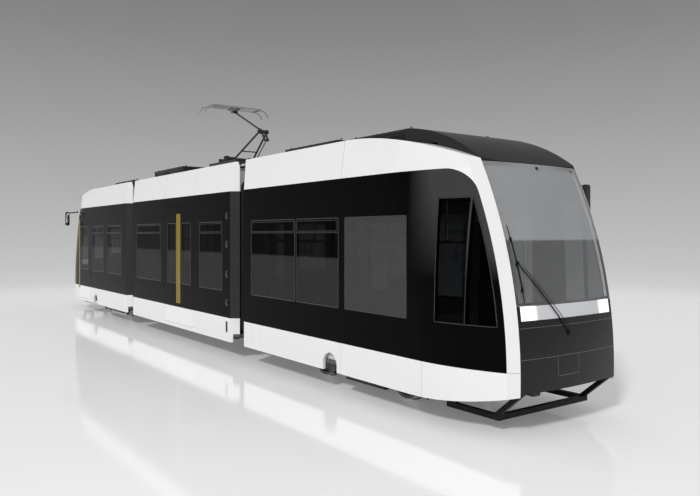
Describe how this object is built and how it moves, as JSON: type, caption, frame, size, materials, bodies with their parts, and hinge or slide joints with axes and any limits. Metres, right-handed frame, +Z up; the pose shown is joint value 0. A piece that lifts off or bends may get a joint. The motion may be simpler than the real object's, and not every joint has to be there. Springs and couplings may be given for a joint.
{
  "type": "articulated low-floor tram",
  "caption": "Articulated low-floor tram with black and white body shells hinged at bellows, cabs at both ends, pivoting bogies and a folding roof pantograph.",
  "frame": {"origin": "middle of the tram at the level its wheel flanges stand on", "axes": "+X along the tram towards the front cab, +Y to its left, +Z up"},
  "size_m": [16.4998, 2.78, 4.61],
  "materials": {
    "gloss_black": "gloss",
    "white_paint": "gloss",
    "tinted_glass": "gloss",
    "windscreen_glass": "gloss",
    "lamp_glass": "gloss",
    "grey_lining": "satin",
    "seat_fabric": "woven",
    "dark_plastic": "satin",
    "roof_unit_black": "satin",
    "underframe_grey": "matt",
    "guard_black": "satin",
    "bogie_grey": "matt",
    "wheel_steel": "rolled",
    "plate_alloy": "chequered",
    "bellows_rubber": "coated",
    "panto_grey": "satin",
    "head_alloy": "satin"
  },
  "bodies": {
    "middle_car": {"middle_floor": "underframe_grey", "middle_walls": "gloss_black", "middle_roof": "white_paint", "middle_skirts": "white_paint", "middle_windows": "tinted_glass", "middle_doors": "gloss_black", "middle_seats": "seat_fabric", "middle_portals": "grey_lining", "middle_roof_unit": "roof_unit_black", "gangway_plates": "plate_alloy", "front_bellows": "bellows_rubber", "rear_bellows": "bellows_rubber", "panto_base": "panto_grey"},
    "front_car": {"front_floor": "underframe_grey", "front_walls": "gloss_black", "front_roof": "white_paint", "front_skirts": "white_paint", "front_pillars": "white_paint", "front_mask": "gloss_black", "front_lamp_bar": "lamp_glass", "front_windscreen": "windscreen_glass", "front_hood": "gloss_black", "front_windows": "tinted_glass", "front_door": "gloss_black", "front_portal": "grey_lining", "front_seats": "seat_fabric", "front_desk": "dark_plastic", "front_roof_units": "roof_unit_black", "front_mirror": "dark_plastic", "front_guard": "guard_black"},
    "front_bogie": {"front_bogie": "bogie_grey"},
    "front_outer_wheelset": {"front_outer_wheelset": "wheel_steel"},
    "front_inner_wheelset": {"front_inner_wheelset": "wheel_steel"},
    "rear_car": {"rear_floor": "underframe_grey", "rear_walls": "gloss_black", "rear_roof": "white_paint", "rear_skirts": "white_paint", "rear_pillars": "white_paint", "rear_mask": "gloss_black", "rear_lamp_bar": "lamp_glass", "rear_windscreen": "windscreen_glass", "rear_hood": "gloss_black", "rear_windows": "tinted_glass", "rear_door": "gloss_black", "rear_portal": "grey_lining", "rear_seats": "seat_fabric", "rear_desk": "dark_plastic", "rear_roof_units": "roof_unit_black", "rear_mirror": "dark_plastic", "rear_guard": "guard_black"},
    "rear_bogie": {"rear_bogie": "bogie_grey"},
    "rear_outer_wheelset": {"rear_outer_wheelset": "wheel_steel"},
    "rear_inner_wheelset": {"rear_inner_wheelset": "wheel_steel"},
    "panto_lower_arm": {"panto_lower_arm": "panto_grey"},
    "panto_upper_arm": {"panto_upper_arm": "panto_grey"},
    "panto_head": {"panto_head": "head_alloy"},
    "panto_pull_rod": {"panto_pull_rod": "panto_grey"}
  },
  "joints": [
    {"name": "front_articulation", "type": "hinge", "parent": "middle_car", "child": "front_car", "pos_m": [2.67, 0, 0.36], "axis": [0, 0, 1], "range_deg": [-15, 15], "deforming": ["front_bellows"]},
    {"name": "front_bogie_turn", "type": "hinge", "parent": "front_car", "child": "front_bogie", "pos_m": [5.34, 0, 0.36], "axis": [0, 0, 1], "range_deg": [-4, 4]},
    {"name": "front_outer_axle", "type": "hinge", "parent": "front_bogie", "child": "front_outer_wheelset", "pos_m": [6.24, 0, 0.31], "axis": [0, 1, 0], "continuous": true},
    {"name": "front_inner_axle", "type": "hinge", "parent": "front_bogie", "child": "front_inner_wheelset", "pos_m": [4.44, 0, 0.31], "axis": [0, 1, 0], "continuous": true},
    {"name": "rear_articulation", "type": "hinge", "parent": "middle_car", "child": "rear_car", "pos_m": [-2.67, 0, 0.36], "axis": [0, 0, 1], "range_deg": [-15, 15], "deforming": ["rear_bellows"]},
    {"name": "rear_bogie_turn", "type": "hinge", "parent": "rear_car", "child": "rear_bogie", "pos_m": [-5.34, 0, 0.36], "axis": [0, 0, 1], "range_deg": [-4, 4]},
    {"name": "rear_outer_axle", "type": "hinge", "parent": "rear_bogie", "child": "rear_outer_wheelset", "pos_m": [-6.24, 0, 0.31], "axis": [0, 1, 0], "continuous": true},
    {"name": "rear_inner_axle", "type": "hinge", "parent": "rear_bogie", "child": "rear_inner_wheelset", "pos_m": [-4.44, 0, 0.31], "axis": [0, 1, 0], "continuous": true},
    {"name": "panto_lift", "type": "hinge", "parent": "middle_car", "child": "panto_lower_arm", "pos_m": [0.66, 0, 3.53], "axis": [0, 1, 0], "range_deg": [-20, 26]},
    {"name": "panto_knuckle", "type": "hinge", "parent": "panto_lower_arm", "child": "panto_upper_arm", "pos_m": [1.45, 0, 3.98], "axis": [0, 1, 0], "range_deg": [-48, 37]},
    {"name": "panto_head_level", "type": "hinge", "parent": "panto_upper_arm", "child": "panto_head", "pos_m": [0.27, 0, 4.52], "axis": [0, 1, 0], "range_deg": [-17, 22]},
    {"name": "panto_rod_turn", "type": "hinge", "parent": "middle_car", "child": "panto_pull_rod", "pos_m": [0.898, 0, 3.249], "axis": [0, 1, 0], "range_deg": [-20, 26]}
  ],
  "couplings": [
    {"joint": "panto_knuckle", "follows": "panto_lift", "ratio": -1.835},
    {"joint": "panto_head_level", "follows": "panto_lift", "ratio": 0.835},
    {"joint": "panto_rod_turn", "follows": "panto_lift", "ratio": 1}
  ]
}
